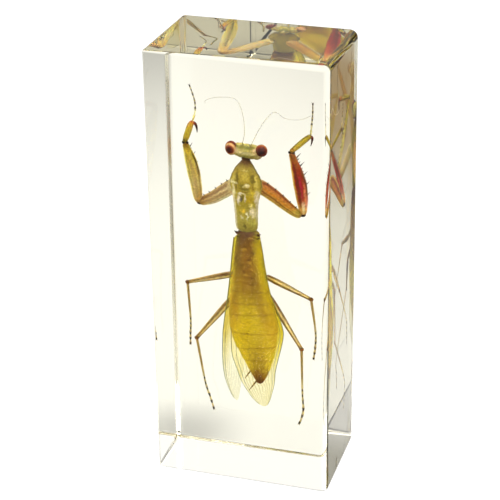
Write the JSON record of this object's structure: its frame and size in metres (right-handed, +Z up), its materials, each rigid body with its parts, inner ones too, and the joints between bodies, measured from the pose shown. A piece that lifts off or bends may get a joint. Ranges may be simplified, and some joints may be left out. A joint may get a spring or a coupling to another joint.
{
  "type": "insect in resin block",
  "caption": "Clear rectangular resin casting that stands on end, with a dried praying mantis sealed inside, wings folded and forelegs raised",
  "frame": {"origin": "middle of the bottom face, on the surface that the block stands on", "axes": "+Z up along the block's length, +Y from the front face to the back face through the thickness, +X to the right seen from the front; the mantis shows its back to the front face"},
  "size_m": [0.0434, 0.028, 0.11],
  "materials": {
    "dried_insect": "dry cuticle, olive yellow with darker brown joints",
    "clear_resin": "polished clear casting resin with rounded edges"
  },
  "bodies": {
    "root": {"mantis": "dried_insect", "resin_front_half": "clear_resin", "resin_back_half": "clear_resin"}
  },
  "joints": []
}
